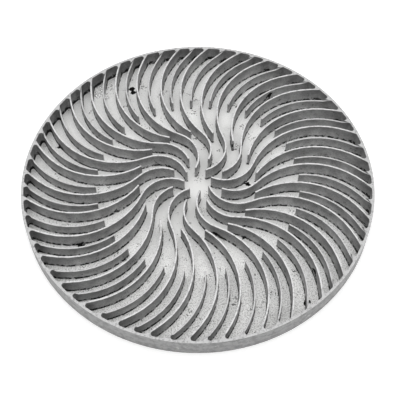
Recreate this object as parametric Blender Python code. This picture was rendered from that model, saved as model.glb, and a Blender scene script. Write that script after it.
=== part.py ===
"""Round ribbed manhole cover: a flat disc, a rim ring that carries the short ribs, and
thirty-two longer ribs, all of them flat strips bent on edge and standing on the disc.
Units are metres, +Z is up, and the origin is at the centre of the underside."""

import math

import bmesh
import bpy

# Overall sizes
COVER_RADIUS = 0.300
COVER_HEIGHT = 0.039
PLATE_THICKNESS = 0.0105
RING_WALL = 0.0042
RIB_THICKNESS = 0.0028
SHORT_RIB_DROP = 0.0052
SEAM = 0.0003

# The pattern repeats in sixteen sectors of four ribs. Offsets are angles at the ring.
SECTORS = 16
SECTOR_DEG = 360.0 / SECTORS
PATTERN_TURN_DEG = 198.75
SHORT_A_OFFSET_DEG = 5.05
MIDDLE_OFFSET_DEG = 10.40
SHORT_B_OFFSET_DEG = 16.36

# Where a rib ends short of the hub: its distance from the centre, as a share of
# COVER_RADIUS. The hub ribs run the whole of their centreline.
HUB_END_SHARE = 0.0
INNER_END_SHARE = 0.150
MIDDLE_END_SHARE = 0.337
SHORT_END_SHARE = 0.580

# Centreline of the longer ribs, from the ring inwards: how far its first heading is off
# the radius, then tangent arcs as (radius as a share of COVER_RADIUS, degrees turned to
# the left). The short ribs have their own.
LONG_HEADING_DEG = -42.7
LONG_ARCS = (
    (0.7688, 8.3),
    (0.4290, 83.7),
    (0.1730, -95.0),
)
SHORT_HEADING_DEG = -44.3
SHORT_ARCS = (
    (0.7924, 7.0),
    (0.4175, 50.5),
)

# Where a rib meets the ring: rounded corners, a seat for each of the longer ribs, and a
# ramp from the ring's top down to each of the short ribs
POCKET_CORNER_RADIUS = 0.0042
CORNER_STEPS = 4
SEAT_LENGTH = 0.013
RAMP_LENGTH = 0.014

# Fineness
CIRCLE_STEPS = 128
CHORD_ERROR = 0.0003
MERGE_DISTANCE = 0.00001

# Finishes: base colour, metallic and roughness
PLATE_FINISH = ((0.52, 0.52, 0.51, 1.0), 0.6, 0.62)
RING_FINISH = ((0.44, 0.44, 0.44, 1.0), 0.8, 0.48)
RIB_FINISH = ((0.36, 0.36, 0.37, 1.0), 0.8, 0.45)


def clear_scene():
    for obj in list(bpy.data.objects):
        bpy.data.objects.remove(obj, do_unlink=True)


def finish_material(name, finish):
    base_color, metallic, roughness = finish
    material = bpy.data.materials.new(name)
    material.use_nodes = True
    shader = material.node_tree.nodes["Principled BSDF"]
    shader.inputs["Base Color"].default_value = base_color
    shader.inputs["Metallic"].default_value = metallic
    shader.inputs["Roughness"].default_value = roughness
    material.diffuse_color = base_color
    return material


def finish_object(name, bm, finish):
    bmesh.ops.recalc_face_normals(bm, faces=bm.faces)
    mesh = bpy.data.meshes.new(name)
    bm.to_mesh(mesh)
    bm.free()
    mesh.materials.append(finish_material(name + "_finish", finish))
    obj = bpy.data.objects.new(name, mesh)
    bpy.context.scene.collection.objects.link(obj)
    return obj


def extrude_up(bm, height):
    """Raises a flat patch of faces into a solid, and gives back the faces on its top."""
    raised = bmesh.ops.extrude_face_region(bm, geom=list(bm.faces))["geom"]
    verts = [item for item in raised if isinstance(item, bmesh.types.BMVert)]
    bmesh.ops.translate(bm, verts=verts, vec=(0.0, 0.0, height))
    return [item for item in raised if isinstance(item, bmesh.types.BMFace)]


def turned(points, degrees):
    angle = math.radians(degrees)
    cos_a = math.cos(angle)
    sin_a = math.sin(angle)
    return [(x * cos_a - y * sin_a, x * sin_a + y * cos_a) for x, y in points]


def arc_chain(heading_deg, arcs, end_share):
    """The centreline of a rib that leaves the ring at angle 0, as (x, y, heading). It
    runs inwards along tangent arcs, no farther in than end_share of the cover's radius."""
    end_radius = end_share * COVER_RADIUS
    x = COVER_RADIUS - RING_WALL
    y = 0.0
    heading = math.pi + math.radians(heading_deg)
    line = [(x, y, heading)]
    for share, sweep_deg in arcs:
        radius = share * COVER_RADIUS
        sweep = math.radians(sweep_deg)
        widest_step = 2.0 * math.acos(1.0 - CHORD_ERROR / radius)
        steps = max(2, math.ceil(abs(sweep) / widest_step))
        turn = sweep / steps
        chord = 2.0 * radius * math.sin(abs(turn) / 2.0)
        for _ in range(steps):
            next_x = x + chord * math.cos(heading + turn / 2.0)
            next_y = y + chord * math.sin(heading + turn / 2.0)
            before = math.hypot(x, y)
            after = math.hypot(next_x, next_y)
            if after <= end_radius:
                part = (before - end_radius) / (before - after)
                end_x = x + (next_x - x) * part
                end_y = y + (next_y - y) * part
                line.append((end_x, end_y, heading + turn * part))
                return line
            x = next_x
            y = next_y
            heading += turn
            line.append((x, y, heading))
    return line


def part_of_line(line, start, stop):
    """The stretch of a centreline between two distances along it."""
    kept = []
    travelled = 0.0
    for (x0, y0, heading0), (x1, y1, heading1) in zip(line, line[1:]):
        step = math.hypot(x1 - x0, y1 - y0)
        for wanted in (start, stop):
            if travelled <= wanted < travelled + step:
                part = (wanted - travelled) / step
                x = x0 + (x1 - x0) * part
                y = y0 + (y1 - y0) * part
                kept.append((x, y, heading0 + (heading1 - heading0) * part))
        travelled += step
        if start < travelled < stop:
            kept.append((x1, y1, heading1))
    return kept


def sides_of(line):
    """The two long sides of a strip of RIB_THICKNESS along a centreline."""
    half = RIB_THICKNESS / 2.0
    left = [(x - half * math.sin(a), y + half * math.cos(a)) for x, y, a in line]
    right = [(x + half * math.sin(a), y - half * math.cos(a)) for x, y, a in line]
    return left, right


def point_on_ring(side):
    """Where the first stretch of a rib's side, carried on outwards, meets the ring."""
    (x0, y0), (x1, y1) = side[:2]
    length = math.hypot(x0 - x1, y0 - y1)
    dx = (x0 - x1) / length
    dy = (y0 - y1) / length
    along = x0 * dx + y0 * dy
    rest = x0 * x0 + y0 * y0 - (COVER_RADIUS - RING_WALL) ** 2
    reach = math.sqrt(along * along - rest) - along
    return x0 + reach * dx, y0 + reach * dy


def rounded_corner(corner, angle_a, angle_b):
    """An arc of POCKET_CORNER_RADIUS that rounds the corner between two directions, from
    the side of angle_a to the side of angle_b."""
    opening = (angle_b - angle_a + math.pi) % (2.0 * math.pi) - math.pi
    reach = POCKET_CORNER_RADIUS / math.sin(abs(opening) / 2.0)
    middle = angle_a + opening / 2.0
    centre_x = corner[0] + reach * math.cos(middle)
    centre_y = corner[1] + reach * math.sin(middle)
    turn = math.copysign(math.pi - abs(opening), -opening)
    points = []
    for step in range(CORNER_STEPS + 1):
        angle = middle + math.pi - turn / 2.0 + turn * step / CORNER_STEPS
        x = centre_x + POCKET_CORNER_RADIUS * math.cos(angle)
        y = centre_y + POCKET_CORNER_RADIUS * math.sin(angle)
        points.append((x, y))
    return points


def strip_at_ring(line):
    """The outline of a strip that meets the ring, in order of rising angle: its first
    rounded corner, the strip between the corners, and its second rounded corner."""
    side_a, side_b = sides_of(line)
    if point_on_ring(side_a)[1] > point_on_ring(side_b)[1]:
        side_a, side_b = side_b, side_a
    corners = []
    for side, sign in ((side_a, -1.0), (side_b, 1.0)):
        root = point_on_ring(side)
        along_rib = math.atan2(side[1][1] - root[1], side[1][0] - root[0])
        along_ring = math.atan2(root[1], root[0]) + sign * math.pi / 2.0
        if sign < 0.0:
            corner = rounded_corner(root, along_ring, along_rib)
            side_end = corner[-1]
        else:
            corner = rounded_corner(root, along_rib, along_ring)
            side_end = corner[0]
        reach = math.hypot(*side_end)
        corners.append((corner, [p for p in side if math.hypot(*p) < reach - SEAM]))
    (corner_a, kept_a), (corner_b, kept_b) = corners
    return corner_a, kept_a + kept_b[::-1], corner_b


def circle_points(radius):
    angles = [2.0 * math.pi * step / CIRCLE_STEPS for step in range(CIRCLE_STEPS)]
    return [(radius * math.cos(a), radius * math.sin(a)) for a in angles]


def loop_edges(bm, points, z):
    verts = [bm.verts.new((x, y, z)) for x, y in points]
    return [bm.edges.new((a, b)) for a, b in zip(verts, verts[1:] + verts[:1])]


def base_plate():
    bm = bmesh.new()
    edges = loop_edges(bm, circle_points(COVER_RADIUS), 0.0)
    bmesh.ops.contextual_create(bm, geom=edges)
    extrude_up(bm, PLATE_THICKNESS)
    finish_object("base_plate", bm, PLATE_FINISH)


def quads_between(bm, left, right, z):
    """Flat faces between two rails of points at one height."""
    rails = [[bm.verts.new((x, y, z)) for x, y in side] for side in (left, right)]
    left, right = rails
    faces = []
    for index in range(len(left) - 1):
        corners = (left[index], left[index + 1], right[index + 1], right[index])
        faces.append(bm.faces.new(corners))
    return faces


def rim_ring():
    """The ring, the short ribs and the seats of the longer ribs, raised from one flat
    outline as high as the short ribs. The ring and the seats are then drawn up to the
    top, which leaves a ramp at the root of each short rib."""
    short = arc_chain(SHORT_HEADING_DEG, SHORT_ARCS, SHORT_END_SHARE)
    ramp = part_of_line(short, 0.0, RAMP_LENGTH)
    corner_a, ramp_end, corner_b = strip_at_ring(ramp[:1] + ramp[-1:])
    ramp_sides = (corner_a[-1:] + ramp_end[:1], corner_b[:1] + ramp_end[-1:])
    strip_sides = sides_of(part_of_line(short, RAMP_LENGTH, math.inf) + short[-1:])
    long = arc_chain(LONG_HEADING_DEG, LONG_ARCS, HUB_END_SHARE)
    seat = sum(strip_at_ring(part_of_line(long, 0.0, SEAT_LENGTH)), [])
    inner = []
    for sector in range(SECTORS):
        turn = PATTERN_TURN_DEG + SECTOR_DEG * sector
        inner += turned(seat, turn)
        inner += turned(corner_a + corner_b, turn + SHORT_A_OFFSET_DEG)
        inner += turned(seat, turn + MIDDLE_OFFSET_DEG)
        inner += turned(corner_a + corner_b, turn + SHORT_B_OFFSET_DEG)
    bm = bmesh.new()
    foot = PLATE_THICKNESS + SEAM
    edges = loop_edges(bm, circle_points(COVER_RADIUS), foot)
    edges += loop_edges(bm, inner, foot)
    bmesh.ops.triangle_fill(bm, edges=edges, use_beauty=True)
    is_short = bm.faces.layers.int.new("is_short")
    for sector in range(SECTORS):
        for offset in (SHORT_A_OFFSET_DEG, SHORT_B_OFFSET_DEG):
            turn = PATTERN_TURN_DEG + SECTOR_DEG * sector + offset
            for left, right in (ramp_sides, strip_sides):
                for face in quads_between(bm, turned(left, turn), turned(right, turn), foot):
                    face[is_short] = 1
    bmesh.ops.remove_doubles(bm, verts=bm.verts, dist=MERGE_DISTANCE)
    bmesh.ops.recalc_face_normals(bm, faces=bm.faces)
    raised = extrude_up(bm, COVER_HEIGHT - SHORT_RIB_DROP - foot)
    to_top = dict.fromkeys(v for face in raised if not face[is_short] for v in face.verts)
    bmesh.ops.translate(bm, verts=list(to_top), vec=(0.0, 0.0, SHORT_RIB_DROP))
    finish_object("rim_ring", bm, RING_FINISH)


def long_rib(name, turn_deg, end_share):
    line = arc_chain(LONG_HEADING_DEG, LONG_ARCS, end_share)
    line = part_of_line(line, SEAT_LENGTH + SEAM, math.inf) + line[-1:]
    foot = PLATE_THICKNESS + SEAM
    bm = bmesh.new()
    left, right = sides_of(line)
    quads_between(bm, turned(left, turn_deg), turned(right, turn_deg), foot)
    extrude_up(bm, COVER_HEIGHT - foot)
    finish_object(name, bm, RIB_FINISH)


def long_ribs():
    """Hub ribs and inner ribs take turns, with a middle rib after each."""
    for sector in range(SECTORS):
        turn = PATTERN_TURN_DEG + SECTOR_DEG * sector
        number = sector // 2 + 1
        if sector % 2 == 0:
            long_rib(f"hub_rib_{number}", turn, HUB_END_SHARE)
        else:
            long_rib(f"inner_rib_{number}", turn, INNER_END_SHARE)
        name = f"middle_rib_{sector + 1:02d}"
        long_rib(name, turn + MIDDLE_OFFSET_DEG, MIDDLE_END_SHARE)


clear_scene()
base_plate()
rim_ring()
long_ribs()
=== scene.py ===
"""Looks of the ribbed street cover, as an add-on that is run as a script: worn steel pieces that
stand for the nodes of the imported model, their materials, and a plain studio round them."""

import math
import random

import bmesh
import bpy
from mathutils import Matrix, Vector, noise
from mathutils.bvhtree import BVHTree


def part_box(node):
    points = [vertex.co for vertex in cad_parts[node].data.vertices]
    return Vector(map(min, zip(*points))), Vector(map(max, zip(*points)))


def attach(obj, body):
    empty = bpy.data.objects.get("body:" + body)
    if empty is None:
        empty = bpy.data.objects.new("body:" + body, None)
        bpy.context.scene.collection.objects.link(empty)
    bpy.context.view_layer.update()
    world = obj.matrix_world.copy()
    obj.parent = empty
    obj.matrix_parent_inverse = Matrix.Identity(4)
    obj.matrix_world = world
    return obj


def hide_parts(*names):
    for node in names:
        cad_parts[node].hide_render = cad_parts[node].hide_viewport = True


bl_info = {
    "name": "Ribbed Street Cover",
    "version": (1, 0, 0),
    "blender": (4, 5, 0),
    "location": "3D View > Sidebar > Street Cover",
    "description": "Builds a round street cover of worn steel ribs on a blasted disc",
    "category": "Object",
}

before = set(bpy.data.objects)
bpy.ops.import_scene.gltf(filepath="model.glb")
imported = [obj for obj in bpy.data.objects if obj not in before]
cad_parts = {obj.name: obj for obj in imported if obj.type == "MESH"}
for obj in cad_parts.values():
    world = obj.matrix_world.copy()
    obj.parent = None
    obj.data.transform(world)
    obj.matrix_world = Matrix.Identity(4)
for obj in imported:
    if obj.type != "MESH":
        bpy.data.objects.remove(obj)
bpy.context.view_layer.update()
PLATE_LOW, PLATE_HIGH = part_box("base_plate")
RIM_LOW, RIM_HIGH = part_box("rim_ring")
COVER_RADIUS = RIM_HIGH.x
TOP = RIM_HIGH.z
PLATE_TOP = PLATE_HIGH.z
SEAM = RIM_LOW.z - PLATE_TOP
LONG_RIBS = sorted(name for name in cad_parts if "_rib_" in name)

# Corners nearer than this are one, faces flatter to each other than the first angle are one,
# and edges sharper than the second are shaded crisp
MERGE = 1e-5
FLAT_ANGLE = math.radians(0.5)
CRISP_ANGLE = math.radians(25.0)
# A face whose normal rises more than this faces up, and one whose normal is nearer level is a side
UPWARD = 0.5

# The pieces built so far, by name
PIECES = {}


# Settings


class CoverSettings(bpy.types.PropertyGroup):
    edge_wear: bpy.props.FloatProperty(
        name="Edge Wear",
        description="Radius that wear has put on the top edges of the ribs and rim",
        default=0.0004,
        min=0.0001,
        max=0.0012,
        unit="LENGTH",
    )
    weld_leg: bpy.props.FloatProperty(
        name="Weld Leg",
        description="How far the weld at a rib's foot stands out from its side",
        default=0.0012,
        min=0.0002,
        max=0.003,
        unit="LENGTH",
    )
    plate_edge: bpy.props.FloatProperty(
        name="Plate Edge",
        description="Radius on the disc's outer edges",
        default=0.0006,
        min=0.0001,
        max=0.0018,
        unit="LENGTH",
    )


class FinishSettings(bpy.types.PropertyGroup):
    floor_light: bpy.props.FloatVectorProperty(
        name="Floor Light",
        description="Blasted steel of the disc between the ribs",
        subtype="COLOR",
        size=3,
        min=0.0,
        max=1.0,
        default=(0.93, 0.93, 0.92),
    )
    floor_dark: bpy.props.FloatVectorProperty(
        name="Floor Dark",
        description="Grit and stains on the disc",
        subtype="COLOR",
        size=3,
        min=0.0,
        max=1.0,
        default=(0.56, 0.56, 0.55),
    )
    wall: bpy.props.FloatVectorProperty(
        name="Rib Wall",
        description="Mill scale on the sides of the ribs",
        subtype="COLOR",
        size=3,
        min=0.0,
        max=1.0,
        default=(0.3, 0.3, 0.3),
    )
    # Colour of the top faces: partly real wear rubbed bright, partly painted light from above
    worn_and_lit: bpy.props.FloatVectorProperty(
        name="Bare Edge",
        description="Steel rubbed bright on the top edges",
        subtype="COLOR",
        size=3,
        min=0.0,
        max=1.0,
        default=(0.72, 0.72, 0.72),
    )
    outer_wall: bpy.props.FloatVectorProperty(
        name="Outer Wall",
        description="Smooth steel round the outside of the cover",
        subtype="COLOR",
        size=3,
        min=0.0,
        max=1.0,
        default=(0.28, 0.28, 0.28),
    )
    # Dark colour for grit, mottle and pores, and also painted shade inside the pits and along the
    # foot of each rib
    soot_and_shade: bpy.props.FloatVectorProperty(
        name="Soot",
        description="Inside of pits and along the weld at the foot of a rib",
        subtype="COLOR",
        size=3,
        min=0.0,
        max=1.0,
        default=(0.006, 0.006, 0.006),
    )


class StageSettings(bpy.types.PropertyGroup):
    view_distance: bpy.props.FloatProperty(
        name="View Distance",
        description="From the middle of the cover's top to the camera",
        default=1.4541,
        unit="LENGTH",
    )
    view_elevation: bpy.props.FloatProperty(
        name="View Elevation",
        description="How far above the horizon the camera stands",
        default=math.radians(56.437),
        subtype="ANGLE",
    )
    view_turn: bpy.props.FloatProperty(
        name="View Turn",
        description="How far the camera is turned to the left of the cover's middle",
        default=math.radians(-0.144),
        subtype="ANGLE",
    )
    view_tilt: bpy.props.FloatProperty(
        name="View Tilt",
        description="How far the camera is tilted up from the cover's middle",
        default=math.radians(-1.427),
        subtype="ANGLE",
    )
    view_roll: bpy.props.FloatProperty(
        name="View Roll",
        description="How far the camera is rolled about its own line of sight",
        default=math.radians(0.267),
        subtype="ANGLE",
    )
    lens: bpy.props.FloatProperty(
        name="Lens",
        description="Focal length on a 36 mm sensor",
        default=76.73,
        unit="CAMERA",
    )
    ceiling_light: bpy.props.FloatProperty(
        name="Ceiling Light",
        description="Power of the broad light overhead, in watts",
        default=26.0,
        min=0.0,
    )
    room_light: bpy.props.FloatProperty(
        name="Room Light",
        description="Strength of the even light from all round",
        default=0.72,
        min=0.0,
    )


# Mesh helpers


def copy_of_node(name):
    """The shape of a CAD node, with its triangles joined up and its flat faces whole."""
    bm = bmesh.new()
    bm.from_mesh(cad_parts[name].data)
    bmesh.ops.remove_doubles(bm, verts=bm.verts, dist=MERGE)
    bmesh.ops.dissolve_limit(bm, angle_limit=FLAT_ANGLE, verts=bm.verts, edges=bm.edges)
    return bm


def top_edges(bm):
    """The edges where a side meets the top."""
    found = []
    for edge in bm.edges:
        tops = [face.normal.z > UPWARD for face in edge.link_faces]
        if any(tops) and not all(tops):
            found.append(edge)
    return found


def cut_level(bm, height):
    """Cuts a loop right round a shape at a height."""
    bmesh.ops.bisect_plane(
        bm,
        geom=list(bm.verts) + list(bm.edges) + list(bm.faces),
        dist=MERGE,
        plane_co=(0, 0, height),
        plane_no=(0, 0, 1),
    )


def outward(vert):
    """The level direction in which a corner's two sides face."""
    total = Vector((0.0, 0.0, 0.0))
    for face in vert.link_faces:
        if abs(face.normal.z) < UPWARD:
            total += face.normal
    total.z = 0.0
    return total.normalized() if total.length > 0.0 else total


# The weld's hollow is cut in this many steps, and its size varies by this share, in lumps whose
# fineness is per metre
WELD_STEPS = 3
WELD_UNEVENNESS = 0.45
WELD_LUMPS = 260.0
# Corners at least this far up the weld stay where they are
WELD_END = 0.999


def add_weld(bm, leg, keep_out):
    """Flares the foot of a strip into a hollow weld bead that varies in size along it. It
    skips what stands on the far side of keep_out, which is the cover's own outer wall."""
    for vert in bm.verts:
        if vert.co.z < PLATE_TOP + 2.0 * SEAM:
            vert.co.z = PLATE_TOP
    for step in range(1, WELD_STEPS):
        angle = math.pi / 2.0 * step / WELD_STEPS
        cut_level(bm, PLATE_TOP + leg * (1.0 - math.cos(angle)))
    cut_level(bm, PLATE_TOP + leg)
    bm.normal_update()
    moves = []
    for vert in bm.verts:
        rise = (vert.co.z - PLATE_TOP) / leg
        if rise < WELD_END and vert.co.to_2d().length < keep_out:
            reach = 1.0 - math.sqrt(max(0.0, 1.0 - (1.0 - rise) ** 2))
            lump = 1.0 + WELD_UNEVENNESS * noise.noise(vert.co * WELD_LUMPS)
            moves.append((vert, outward(vert) * leg * reach * lump))
    for vert, move in moves:
        vert.co += move


def polar_point(reach, angle, height):
    """The spot at a distance from the cover's axis, an angle round it and a height."""
    return Vector((reach * math.cos(angle), reach * math.sin(angle), height))


def mark_rise(mesh):
    """Stores how far up its rib each corner stands, from 0 at the foot to 1 at the top."""
    attribute = mesh.attributes.new("rise", "FLOAT", "POINT")
    height = TOP - PLATE_TOP
    for vert, item in zip(mesh.vertices, attribute.data):
        item.value = (vert.co.z - PLATE_TOP) / height


def new_piece(name, bm, material):
    """A finished piece that rides on the cover's one body."""
    mesh = bpy.data.meshes.new(name)
    bm.to_mesh(mesh)
    bm.free()
    mesh.materials.append(material)
    mark_rise(mesh)
    piece = bpy.data.objects.new(name, mesh)
    bpy.context.scene.collection.objects.link(piece)
    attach(piece, "root")
    return piece


def soften_sides(piece):
    """Smooth shading round the curves, with the sharp edges kept crisp."""
    piece.data.shade_smooth()
    piece.data.set_sharp_from_angle(angle=CRISP_ANGLE)


def nudge_outer_end(bm):
    """Closes the seam between a long rib's outer end and its seat on the ring."""
    sides = [face for face in bm.faces if abs(face.normal.z) < UPWARD]
    end = max(sides, key=lambda face: face.calc_center_median().to_2d().length)
    step = end.normal * SEAM
    for vert in end.verts:
        vert.co += step


# Materials


class Graph:
    """Short ways to build a material's node tree."""

    def __init__(self, name):
        self.material = bpy.data.materials.new(name)
        self.material.use_nodes = True
        self.tree = self.material.node_tree
        self.shader = self.tree.nodes["Principled BSDF"]
        self.place = self.add("ShaderNodeTexCoord").outputs["Object"]

    def add(self, kind, **settings):
        """A new node, with its settings."""
        node = self.tree.nodes.new(kind)
        for key, value in settings.items():
            setattr(node, key, value)
        return node

    def feed(self, socket, value):
        """Links another node's output to a socket, or sets the socket to a plain value."""
        if isinstance(value, bpy.types.NodeSocket):
            self.tree.links.new(value, socket)
        else:
            socket.default_value = value

    def math(self, operation, a, b=0.0):
        node = self.add("ShaderNodeMath", operation=operation)
        self.feed(node.inputs[0], a)
        self.feed(node.inputs[1], b)
        return node.outputs[0]

    def noise(self, scale, detail=3.0, place=None):
        node = self.add("ShaderNodeTexNoise")
        self.feed(node.inputs["Vector"], place or self.place)
        self.feed(node.inputs["Scale"], scale)
        self.feed(node.inputs["Detail"], detail)
        return node.outputs["Fac"]

    def span(self, value, low, high, to_low=0.0, to_high=1.0):
        """Eases from to_low to to_high while the value goes from low to high."""
        node = self.add("ShaderNodeMapRange", interpolation_type="SMOOTHSTEP")
        for socket, item in zip(node.inputs, (value, low, high, to_low, to_high)):
            self.feed(socket, item)
        return node.outputs["Result"]

    def mix(self, factor, a, b):
        node = self.add("ShaderNodeMix", data_type="RGBA")
        self.feed(node.inputs["Factor"], factor)
        self.feed(node.inputs[6], a)
        self.feed(node.inputs[7], b)
        return node.outputs[2]

    def axis(self, vector, index):
        node = self.add("ShaderNodeSeparateXYZ")
        self.feed(node.inputs[0], vector)
        return node.outputs[index]

    def radius(self):
        """Distance from the cover's axis, in metres."""
        flat = self.add("ShaderNodeVectorMath", operation="MULTIPLY")
        self.feed(flat.inputs[0], self.place)
        flat.inputs[1].default_value = (1.0, 1.0, 0.0)
        length = self.add("ShaderNodeVectorMath", operation="LENGTH")
        self.feed(length.inputs[0], flat.outputs[0])
        return length.outputs["Value"]

    def bump(self, height, strength, distance):
        node = self.add("ShaderNodeBump")
        self.feed(node.inputs["Height"], height)
        self.feed(node.inputs["Strength"], strength)
        self.feed(node.inputs["Distance"], distance)
        self.feed(self.shader.inputs["Normal"], node.outputs["Normal"])

    def finish(self, color, roughness, metallic):
        self.feed(self.shader.inputs["Base Color"], color)
        self.feed(self.shader.inputs["Roughness"], roughness)
        self.feed(self.shader.inputs["Metallic"], metallic)
        return self.material


def rgba(color):
    return (color[0], color[1], color[2], 1.0)


# Fineness of each noise in the finishes, per metre
SAND = 480.0
STAINS = 26.0
GRIT = 420.0
GRIT_PATCHES = 60.0
PLATE_DIMPLES = 260.0
OUTER_MOTTLE = 110.0
OUTER_NICKS = 170.0
SCALE_CLOUDS = 45.0
SCALE_STREAKS = 430.0
LINE_EDGE = 330.0
LINE_BREAKS = 190.0
PORE_PATCHES = 70.0
TOP_WEAR = 320.0
STRIP_DIMPLES = 180.0
# The finish of the outer wall begins the first distance inside the cover's radius, and is
# whole at the second on the disc and at the third on the rim
SKIN_START = 0.0012
PLATE_SKIN = 0.0008
RIM_SKIN = 0.0006


def outer_steel(graph, finish):
    """The faintly mottled steel round the outside of the cover."""
    mottle = graph.span(graph.noise(OUTER_MOTTLE, 5.0), 0.4, 0.64, 0.0, 0.32)
    return graph.mix(mottle, rgba(finish.outer_wall), rgba(finish.soot_and_shade))


def plate_material(finish):
    """Blasted steel: sandy speckle, a few stains, dark grit, evener and greyer in the middle."""
    graph = Graph("blasted_steel")
    light = rgba(finish.floor_light)
    dark = rgba(finish.floor_dark)
    sand = graph.noise(SAND, 3.0)
    radius = graph.radius()
    far = graph.span(radius, 0.12 * COVER_RADIUS, 0.8 * COVER_RADIUS)
    depth = graph.axis(graph.place, 1)
    front = graph.span(depth, -0.4 * COVER_RADIUS, 0.2 * COVER_RADIUS, 1.0, 0.3)
    dirt = graph.math("MULTIPLY", graph.span(sand, 0.46, 0.62), graph.math("MULTIPLY", far, front))
    dirt = graph.math("ADD", dirt, graph.span(graph.noise(STAINS, 4.0), 0.56, 0.74, 0.0, 0.3))
    color = graph.mix(graph.math("MINIMUM", dirt, 1.0), light, dark)
    grit = graph.math("MULTIPLY", graph.noise(GRIT, 2.0), graph.noise(GRIT_PATCHES, 2.0))
    color = graph.mix(graph.span(grit, 0.375, 0.41, 0.0, 0.85), color, rgba(finish.soot_and_shade))
    grey = graph.span(radius, 0.1 * COVER_RADIUS, 0.45 * COVER_RADIUS, 0.5, 0.0)
    color = graph.mix(grey, color, dark)
    outside = graph.span(radius, COVER_RADIUS - SKIN_START, COVER_RADIUS - PLATE_SKIN)
    color = graph.mix(outside, color, outer_steel(graph, finish))
    roughness = graph.span(sand, 0.3, 0.7, 0.48, 0.75)
    graph.bump(graph.math("ADD", sand, graph.noise(PLATE_DIMPLES, 3.0)), 0.3, 0.0006)
    return graph.finish(color, roughness, 0.15)


def scale_with_painted_shade(graph, finish, rise, radius, streaks):
    """The sides of a strip: cloudy and streaked mill scale, with painted light that makes them
    paler at the foot and painted shade that makes them darker by the rim, where the pockets end.
    """
    shade = graph.span(graph.noise(SCALE_CLOUDS, 4.0), 0.35, 0.7, 0.78, 1.18)
    # Painted shade: the walls darken towards the rim, where the pockets end in corners
    painted_rim_shade = graph.span(radius, 0.88 * COVER_RADIUS, COVER_RADIUS, 1.0, 0.6)
    uneven = graph.span(streaks, 0.32, 0.68, 0.78, 1.22)
    # Painted light: the rise span makes the walls paler at the foot and darker towards the top
    for part in (uneven, graph.span(rise, 0.1, 0.95, 1.5, 0.84), painted_rim_shade):
        shade = graph.math("MULTIPLY", shade, part)
    scaled = graph.add("ShaderNodeVectorMath", operation="SCALE")
    scaled.inputs[0].default_value = finish.wall
    graph.feed(scaled.inputs["Scale"], shade)
    return scaled.outputs[0]


def foot_shade_line(graph, rise, radius, inside):
    """A broken dark line of painted shade along the crease at the foot of a strip, taller and more
    whole by the rim.
    """
    at_rim = graph.span(radius, 0.945 * COVER_RADIUS, 0.975 * COVER_RADIUS)
    ragged = graph.span(graph.noise(LINE_EDGE, 2.0), 0.3, 0.7, -0.05, 0.07)
    reach = graph.math("ADD", rise, ragged)
    reach = graph.math("SUBTRACT", reach, graph.math("MULTIPLY", at_rim, 0.12))
    foot = graph.span(reach, 0.105, 0.135, 1.0, 0.0)
    broken = graph.noise(LINE_BREAKS, 3.0)
    broken = graph.math("ADD", broken, graph.math("MULTIPLY", at_rim, 0.03))
    broken = graph.span(broken, 0.44, 0.475)
    return graph.math("MULTIPLY", graph.math("MULTIPLY", foot, broken), inside)


def worn_and_lit_top(graph, rise, worn_and_lit_share):
    """Where the top of a strip is painted bright, partly real rubbed wear and partly painted light
    on the faces that look up, with scratches through it.
    """
    geometry = graph.add("ShaderNodeNewGeometry")
    # Painted light: faces that look up are picked out to be painted brighter
    top = graph.span(graph.axis(geometry.outputs["True Normal"], 2), 0.2, 0.75)
    top = graph.math("MULTIPLY", top, graph.span(rise, 0.4, 0.6))
    worn = graph.span(graph.noise(TOP_WEAR, 4.0), 0.36, 0.5, 0.5, 1.0)
    return graph.math("MULTIPLY", graph.math("MULTIPLY", top, worn), worn_and_lit_share)


def strip_material(name, finish, worn_and_lit_share):
    """Mill scale on the sides with painted light and shade, a broken dark line of painted shade
    along the weld at the foot, and bright steel along the top edges, partly real wear and partly
    painted light from above."""
    graph = Graph(name)
    soot_and_shade = rgba(finish.soot_and_shade)
    rise = graph.add("ShaderNodeAttribute", attribute_name="rise").outputs["Fac"]
    radius = graph.radius()
    streaks = graph.noise(SCALE_STREAKS, 3.0)
    outside = graph.span(radius, COVER_RADIUS - SKIN_START, COVER_RADIUS - RIM_SKIN)
    inside = graph.math("SUBTRACT", 1.0, outside)
    nicks = graph.span(graph.noise(OUTER_NICKS, 3.0), 0.62, 0.72, 0.0, 0.5)
    outer = graph.mix(nicks, outer_steel(graph, finish), rgba(finish.floor_dark))
    color = graph.mix(outside, scale_with_painted_shade(graph, finish, rise, radius, streaks), outer)
    # Painted shade: a broken dark line along the crease at the foot of the strip
    line = foot_shade_line(graph, rise, radius, inside)
    color = graph.mix(graph.math("MULTIPLY", line, 0.95), color, soot_and_shade)
    pores = graph.math("MULTIPLY", streaks, graph.noise(PORE_PATCHES))
    pores = graph.span(pores, 0.36, 0.39, 0.0, 0.7)
    color = graph.mix(graph.math("MULTIPLY", pores, inside), color, soot_and_shade)
    # Top faces painted bright: partly real wear, partly painted light from above
    color = graph.mix(worn_and_lit_top(graph, rise, worn_and_lit_share), color, rgba(finish.worn_and_lit))
    gloss = graph.math("SUBTRACT", 0.5, graph.math("MULTIPLY", line, 0.4))
    graph.feed(graph.shader.inputs["Specular IOR Level"], gloss)
    graph.bump(graph.math("ADD", streaks, graph.noise(STRIP_DIMPLES, 4.0)), 0.22, 0.0004)
    roughness = graph.span(streaks, 0.3, 0.7, 0.42, 0.66)
    return graph.finish(color, roughness, graph.span(line, 0.0, 1.0, 0.2, 0.0))


# Grain of the painted shade inside the pits, per metre
PIT_SHADE_GRAIN = 700.0
FLOOR_GRAIN = 3.0
FLOOR_GLOW = 0.35


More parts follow.
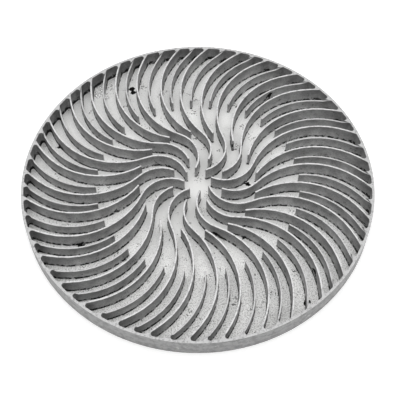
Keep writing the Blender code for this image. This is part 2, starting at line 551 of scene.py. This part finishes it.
def pit_shade_material(finish):
    """The inside of a pit, painted nearly black: painted shade with a faint grain."""
    graph = Graph("pit_shade")
    grain = graph.noise(PIT_SHADE_GRAIN, 3.0)
    color = graph.mix(grain, rgba(finish.soot_and_shade), (0.02, 0.02, 0.02, 1.0))
    graph.bump(grain, 0.4, 0.0006)
    graph.shader.inputs["Specular IOR Level"].default_value = 0.1
    return graph.finish(color, graph.span(grain, 0.3, 0.7, 0.7, 0.95), 0.0)


def floor_material():
    """Plain pale paper that glows a little, with the faintest grain."""
    graph = Graph("studio_floor")
    grain = graph.noise(FLOOR_GRAIN, 2.0)
    color = graph.mix(grain, (0.9, 0.9, 0.9, 1.0), (0.93, 0.93, 0.93, 1.0))
    graph.feed(graph.shader.inputs["Emission Color"], color)
    graph.shader.inputs["Emission Strength"].default_value = FLOOR_GLOW
    return graph.finish(color, 0.9, 0.0)


# Pieces


def strip_piece(node_name, piece_name, material, slot):
    """A worn copy of a strip node, welded at its foot, that stands for the node."""
    settings = bpy.context.scene.street_cover
    bm = copy_of_node(node_name)
    if slot == "ribs":
        nudge_outer_end(bm)
    bmesh.ops.bevel(
        bm,
        geom=top_edges(bm),
        offset=settings.edge_wear,
        offset_type="OFFSET",
        segments=2,
        profile=0.5,
        affect="EDGES",
        material=-1,
        clamp_overlap=True,
    )
    bm.normal_update()
    add_weld(bm, settings.weld_leg, COVER_RADIUS - SEAM)
    bmesh.ops.recalc_face_normals(bm, faces=bm.faces)
    piece = new_piece(piece_name, bm, material)
    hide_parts(node_name)
    soften_sides(piece)
    PIECES[piece_name] = piece


# How strongly the tops of the ribs and of the rim are painted bright, partly wear and partly
# painted light
WORN_AND_LIT_RIB_SHARE = 0.85
WORN_AND_LIT_RIM_SHARE = 0.6
EDGE_STEPS = 4
ROUND_STEPS = 256


def rib_group(prefix):
    """Build the pieces for every long rib whose name starts with the prefix."""
    finish = bpy.context.scene.street_cover_finish
    material = strip_material(prefix + "_steel", finish, WORN_AND_LIT_RIB_SHARE)
    names = [name for name in LONG_RIBS if name.startswith(prefix)]
    if not names:
        raise RuntimeError(f"the model has no {prefix} ribs")
    for name in names:
        strip_piece(name, name + "_body", material, "ribs")


class STREETCOVER_OT_plate(bpy.types.Operator):
    """Build the disc, with its rounded edges and its blasted top"""

    bl_idname = "street_cover.plate"
    bl_label = "Plate"

    def execute(self, context):
        edge = context.scene.street_cover.plate_edge
        profile = [(0.0, 0.0)]
        for centre_z, first in ((edge, -90.0), (PLATE_TOP - edge, 0.0)):
            for step in range(EDGE_STEPS + 1):
                angle = math.radians(first + 90.0 * step / EDGE_STEPS)
                x = COVER_RADIUS - edge + edge * math.cos(angle)
                profile.append((x, centre_z + edge * math.sin(angle)))
        profile.append((0.0, PLATE_TOP))
        bm = bmesh.new()
        verts = [bm.verts.new((x, 0.0, z)) for x, z in profile]
        edges = [bm.edges.new(pair) for pair in zip(verts, verts[1:])]
        bmesh.ops.spin(
            bm,
            geom=verts + edges,
            cent=(0.0, 0.0, 0.0),
            axis=(0.0, 0.0, 1.0),
            angle=math.tau,
            steps=ROUND_STEPS,
            use_merge=True,
        )
        bmesh.ops.remove_doubles(bm, verts=bm.verts, dist=MERGE)
        bmesh.ops.recalc_face_normals(bm, faces=bm.faces)
        material = plate_material(context.scene.street_cover_finish)
        piece = new_piece("plate_body", bm, material)
        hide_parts("base_plate")
        soften_sides(piece)
        PIECES["plate_body"] = piece
        return {"FINISHED"}


class STREETCOVER_OT_rim(bpy.types.Operator):
    """Build the rim with the short ribs that grow out of it"""

    bl_idname = "street_cover.rim"
    bl_label = "Rim and Short Ribs"

    def execute(self, context):
        finish = context.scene.street_cover_finish
        material = strip_material("rim_steel", finish, WORN_AND_LIT_RIM_SHARE)
        strip_piece("rim_ring", "rim_body", material, "ring")
        return {"FINISHED"}


class STREETCOVER_OT_hub_ribs(bpy.types.Operator):
    """Build the eight ribs that reach the hub"""

    bl_idname = "street_cover.hub_ribs"
    bl_label = "Hub Ribs"

    def execute(self, context):
        rib_group("hub")
        return {"FINISHED"}


class STREETCOVER_OT_inner_ribs(bpy.types.Operator):
    """Build the eight ribs that stop a little short of the hub"""

    bl_idname = "street_cover.inner_ribs"
    bl_label = "Inner Ribs"

    def execute(self, context):
        rib_group("inner")
        return {"FINISHED"}


class STREETCOVER_OT_middle_ribs(bpy.types.Operator):
    """Build the sixteen ribs that stop at a third of the radius"""

    bl_idname = "street_cover.middle_ribs"
    bl_label = "Middle Ribs"

    def execute(self, context):
        rib_group("middle")
        return {"FINISHED"}


# The larger blow-holes. Their places are drawn by chance, evenly over the area of the band.
PIT_SEED = 3
PIT_COUNT = 18
PIT_BAND = (0.15, 0.97)
WALL_PIT_SHARE = 0.8
PIT_RISES = (0.1, 0.5)
PIT_RADII = (0.0035, 0.006)
# A pit that goes on a wall shifts this far to the front, then moves onto the nearest wall
FRONT_SHIFT = 0.003
WALL_PIT_DEPTH = 0.0018
# A cutter is this much larger than its pit, its lumps are this deep and this fine for its
# size, and the lumps of the next cutter are taken this far away in the noise
CUTTER_SHARE = 1.15
LUMP_DEPTH = 1.1
LUMP_FINENESS = 1.7
LUMP_STRIDE = 7.3
# Strips nearer to a pit's middle than this share of its radius are cut
CUT_REACH = 1.5


def scatter_pits():
    """Draw where each blow-hole lies, how far up its rib it is and how wide."""
    chance = random.Random(PIT_SEED)
    inner, outer = PIT_BAND
    pits = []
    for _ in range(PIT_COUNT):
        reach = COVER_RADIUS * math.sqrt(chance.uniform(inner**2, outer**2))
        angle = chance.uniform(0.0, math.tau)
        on_wall = chance.random() < WALL_PIT_SHARE
        rise = chance.uniform(*PIT_RISES) if on_wall else 0.0
        place = polar_point(reach, angle, PLATE_TOP + rise * (TOP - PLATE_TOP))
        pits.append((place, on_wall, chance.uniform(*PIT_RADII)))
    return pits


def nearest_wall(point, trees):
    """The nearest spot on the side of a rib, and the way it faces."""
    best = None
    for tree in trees:
        spot, normal, _, distance = tree.find_nearest(point)
        if best is None or distance < best[2]:
            best = (spot, normal, distance)
    return best


def add_pit_cutter(bm, centre, radius, normal, depth, seed):
    """An irregular ball, squashed along the way the wall faces to the depth of the pit."""
    made = bmesh.ops.create_icosphere(
        bm, subdivisions=2, radius=radius, matrix=Matrix.Translation(centre)
    )
    for vert in made["verts"]:
        away = vert.co - centre
        shift = Vector((seed * LUMP_STRIDE, 0.0, 0.0))
        lump = noise.noise(away * (LUMP_FINENESS / radius) + shift)
        away *= 1.0 + LUMP_DEPTH * lump
        away += normal * away.dot(normal) * (depth / radius - 1.0)
        vert.co = centre + away


class STREETCOVER_OT_pits(bpy.types.Operator):
    """Cut the blow-holes out of the disc and the sides of the ribs"""

    bl_idname = "street_cover.pits"
    bl_label = "Pits"

    def execute(self, context):
        depsgraph = context.evaluated_depsgraph_get()
        strips = [piece for name, piece in PIECES.items() if name != "plate_body"]
        trees = {piece.name: BVHTree.FromObject(piece, depsgraph) for piece in strips}
        if not trees:
            self.report({"ERROR"}, "build the ribs before their pits")
            return {"CANCELLED"}
        bm = bmesh.new()
        spheres = []
        for seed, (centre, on_wall, radius) in enumerate(scatter_pits()):
            normal = Vector((0.0, 0.0, 1.0))
            depth = radius
            if on_wall:
                centre.y -= FRONT_SHIFT
                centre, normal, _ = nearest_wall(centre, trees.values())
                depth = WALL_PIT_DEPTH
            add_pit_cutter(bm, centre, radius * CUTTER_SHARE, normal, depth, seed)
            spheres.append((centre, radius * CUT_REACH))
        mesh = bpy.data.meshes.new("pit_cutter")
        bm.to_mesh(mesh)
        bm.free()
        # The cutter carries painted shade, a nearly black colour, onto the walls of the holes
        mesh.materials.append(pit_shade_material(context.scene.street_cover_finish))
        cutter = bpy.data.objects.new("pit_cutter", mesh)
        context.scene.collection.objects.link(cutter)
        for name, piece in PIECES.items():
            tree = trees.get(name)
            near = tree is None or any(
                tree.find_nearest(centre, reach)[0] is not None for centre, reach in spheres
            )
            if near:
                self.cut(context, piece, cutter)
        bpy.data.objects.remove(cutter, do_unlink=True)
        return {"FINISHED"}

    def cut(self, context, piece, cutter):
        """Takes the cutter out of a piece; the walls of the holes get the cutter's painted shade.
        """
        modifier = piece.modifiers.new("pits", "BOOLEAN")
        modifier.operation = "DIFFERENCE"
        modifier.solver = "EXACT"
        modifier.material_mode = "TRANSFER"
        modifier.object = cutter
        with context.temp_override(object=piece, active_object=piece):
            bpy.ops.object.modifier_apply(modifier=modifier.name)
        if len(piece.data.polygons) == 0:
            raise RuntimeError(f"cutting the pits left nothing of {piece.name}")
        soften_sides(piece)


# The patch of weld spatter: where its middle lies, and how its clusters spread round that
SPATTER_SHARE = 0.9
SPATTER_DEGREES = 130.0
SPATTER_CLUSTERS = 3
SPATTER_BEADS = 13
CLUSTER_SPREAD = 0.014
SPATTER_SPREAD = 0.009
SPATTER_SEED = 11
BEAD_RADII = (0.001, 0.0034)
BEAD_STRETCH = (0.7, 1.3)
BEAD_HEIGHT = 0.8
# Round the cover a cluster is this share as wide as along the radius
CLUSTER_TURN_SHARE = 0.45
BEAD_GRAIN = 900.0


class STREETCOVER_OT_spatter(bpy.types.Operator):
    """Scatter the glossy beads that spat onto the disc"""

    bl_idname = "street_cover.spatter"
    bl_label = "Spatter"

    def execute(self, context):
        chance = random.Random(SPATTER_SEED)
        bm = bmesh.new()
        for _ in range(SPATTER_CLUSTERS):
            reach = SPATTER_SHARE * COVER_RADIUS + chance.uniform(-1.0, 1.0) * CLUSTER_SPREAD
            angle = math.radians(SPATTER_DEGREES)
            angle += chance.uniform(-1.0, 1.0) * CLUSTER_SPREAD / reach
            for _ in range(SPATTER_BEADS):
                along = reach + chance.uniform(-1.0, 1.0) * SPATTER_SPREAD
                sideways = chance.uniform(-CLUSTER_TURN_SHARE, CLUSTER_TURN_SHARE)
                turn = angle + sideways * SPATTER_SPREAD / reach
                radius = chance.uniform(*BEAD_RADII)
                squash = Matrix.Diagonal((1.0, chance.uniform(*BEAD_STRETCH), BEAD_HEIGHT, 1.0))
                place = polar_point(along, turn, PLATE_TOP)
                matrix = Matrix.Translation(place) @ squash
                bmesh.ops.create_icosphere(bm, subdivisions=2, radius=radius, matrix=matrix)
        bmesh.ops.recalc_face_normals(bm, faces=bm.faces)
        graph = Graph("spatter_steel")
        grain = graph.noise(BEAD_GRAIN, 2.0)
        color = graph.mix(grain, (0.7, 0.7, 0.7, 1.0), (0.95, 0.95, 0.95, 1.0))
        material = graph.finish(color, graph.span(grain, 0.3, 0.7, 0.08, 0.3), 0.6)
        piece = new_piece("spatter_beads", bm, material)
        piece.data.shade_smooth()
        return {"FINISHED"}


FLOOR_HALF = 6.0
FLOOR_GAP = 0.0002
LIGHT_SIZE = 2.4
LIGHT_PLACE = (0.0, 0.3, 1.9)
SENSOR_WIDTH = 36.0
FARTHEST_SEEN = 50.0


class STREETCOVER_OT_stage(bpy.types.Operator):
    """Build the floor, the lights and the camera"""

    bl_idname = "street_cover.stage"
    bl_label = "Stage"

    def execute(self, context):
        settings = context.scene.street_cover_stage
        self.build_floor(context)
        self.build_light(context, settings)
        self.build_room(context, settings)
        self.build_camera(context, settings)
        context.scene.view_settings.view_transform = "Standard"
        return {"FINISHED"}

    def build_floor(self, context):
        bm = bmesh.new()
        bmesh.ops.create_grid(bm, x_segments=1, y_segments=1, size=FLOOR_HALF)
        mesh = bpy.data.meshes.new("studio_floor")
        bm.to_mesh(mesh)
        bm.free()
        mesh.materials.append(floor_material())
        floor = bpy.data.objects.new("studio_floor", mesh)
        floor.location.z = PLATE_LOW.z - FLOOR_GAP
        context.scene.collection.objects.link(floor)

    def build_light(self, context, settings):
        light = bpy.data.lights.new("ceiling_light", "AREA")
        light.shape = "SQUARE"
        light.size = LIGHT_SIZE
        light.energy = settings.ceiling_light
        lamp = bpy.data.objects.new("ceiling_light", light)
        lamp.location = LIGHT_PLACE
        context.scene.collection.objects.link(lamp)

    def build_room(self, context, settings):
        world = bpy.data.worlds.new("studio_room")
        world.use_nodes = True
        background = world.node_tree.nodes["Background"]
        background.inputs["Color"].default_value = (1.0, 1.0, 1.0, 1.0)
        background.inputs["Strength"].default_value = settings.room_light
        context.scene.world = world

    def build_camera(self, context, settings):
        elevation = settings.view_elevation
        back = Vector((0.0, -math.cos(elevation), math.sin(elevation)))
        right = Vector((1.0, 0.0, 0.0))
        up = right.cross(-back)
        turn = Matrix.Rotation(settings.view_turn, 3, up)
        turn = turn @ Matrix.Rotation(settings.view_tilt, 3, right)
        place = back * settings.view_distance + Vector((0.0, 0.0, TOP))
        back, right, up = turn @ back, turn @ right, turn @ up
        roll = Matrix.Rotation(settings.view_roll, 3, -back)
        axes = Matrix((roll @ right, roll @ up, back)).transposed().to_4x4()
        data = bpy.data.cameras.new("camera")
        data.sensor_width = SENSOR_WIDTH
        data.lens = settings.lens
        data.clip_end = FARTHEST_SEEN
        camera = bpy.data.objects.new("camera", data)
        camera.matrix_world = Matrix.Translation(place) @ axes
        context.scene.collection.objects.link(camera)
        context.scene.camera = camera


class STREETCOVER_PT_panel(bpy.types.Panel):
    """Lists the pieces in the order in which they are built"""

    bl_idname = "STREETCOVER_PT_panel"
    bl_label = "Street Cover"
    bl_space_type = "VIEW_3D"
    bl_region_type = "UI"
    bl_category = "Street Cover"

    def draw(self, context):
        scene = context.scene
        groups = (scene.street_cover, scene.street_cover_finish, scene.street_cover_stage)
        for group in groups:
            box = self.layout.box()
            for key in group.__annotations__:
                box.prop(group, key)
        for operator in OPERATORS:
            self.layout.operator(operator.bl_idname)


OPERATORS = (
    STREETCOVER_OT_plate,
    STREETCOVER_OT_rim,
    STREETCOVER_OT_hub_ribs,
    STREETCOVER_OT_inner_ribs,
    STREETCOVER_OT_middle_ribs,
    STREETCOVER_OT_pits,
    STREETCOVER_OT_spatter,
    STREETCOVER_OT_stage,
)
CLASSES = (CoverSettings, FinishSettings, StageSettings) + OPERATORS + (STREETCOVER_PT_panel,)


def register():
    for item in CLASSES:
        bpy.utils.register_class(item)
    scene_type = bpy.types.Scene
    scene_type.street_cover = bpy.props.PointerProperty(type=CoverSettings)
    scene_type.street_cover_finish = bpy.props.PointerProperty(type=FinishSettings)
    scene_type.street_cover_stage = bpy.props.PointerProperty(type=StageSettings)


def unregister():
    for key in ("street_cover", "street_cover_finish", "street_cover_stage"):
        delattr(bpy.types.Scene, key)
    for item in reversed(CLASSES):
        bpy.utils.unregister_class(item)


def main():
    register()
    for operator in OPERATORS:
        category, name = operator.bl_idname.split(".")
        result = getattr(getattr(bpy.ops, category), name)()
        if result != {"FINISHED"}:
            raise RuntimeError(f"{operator.bl_label} was not built")


if __name__ == "__main__":
    main()
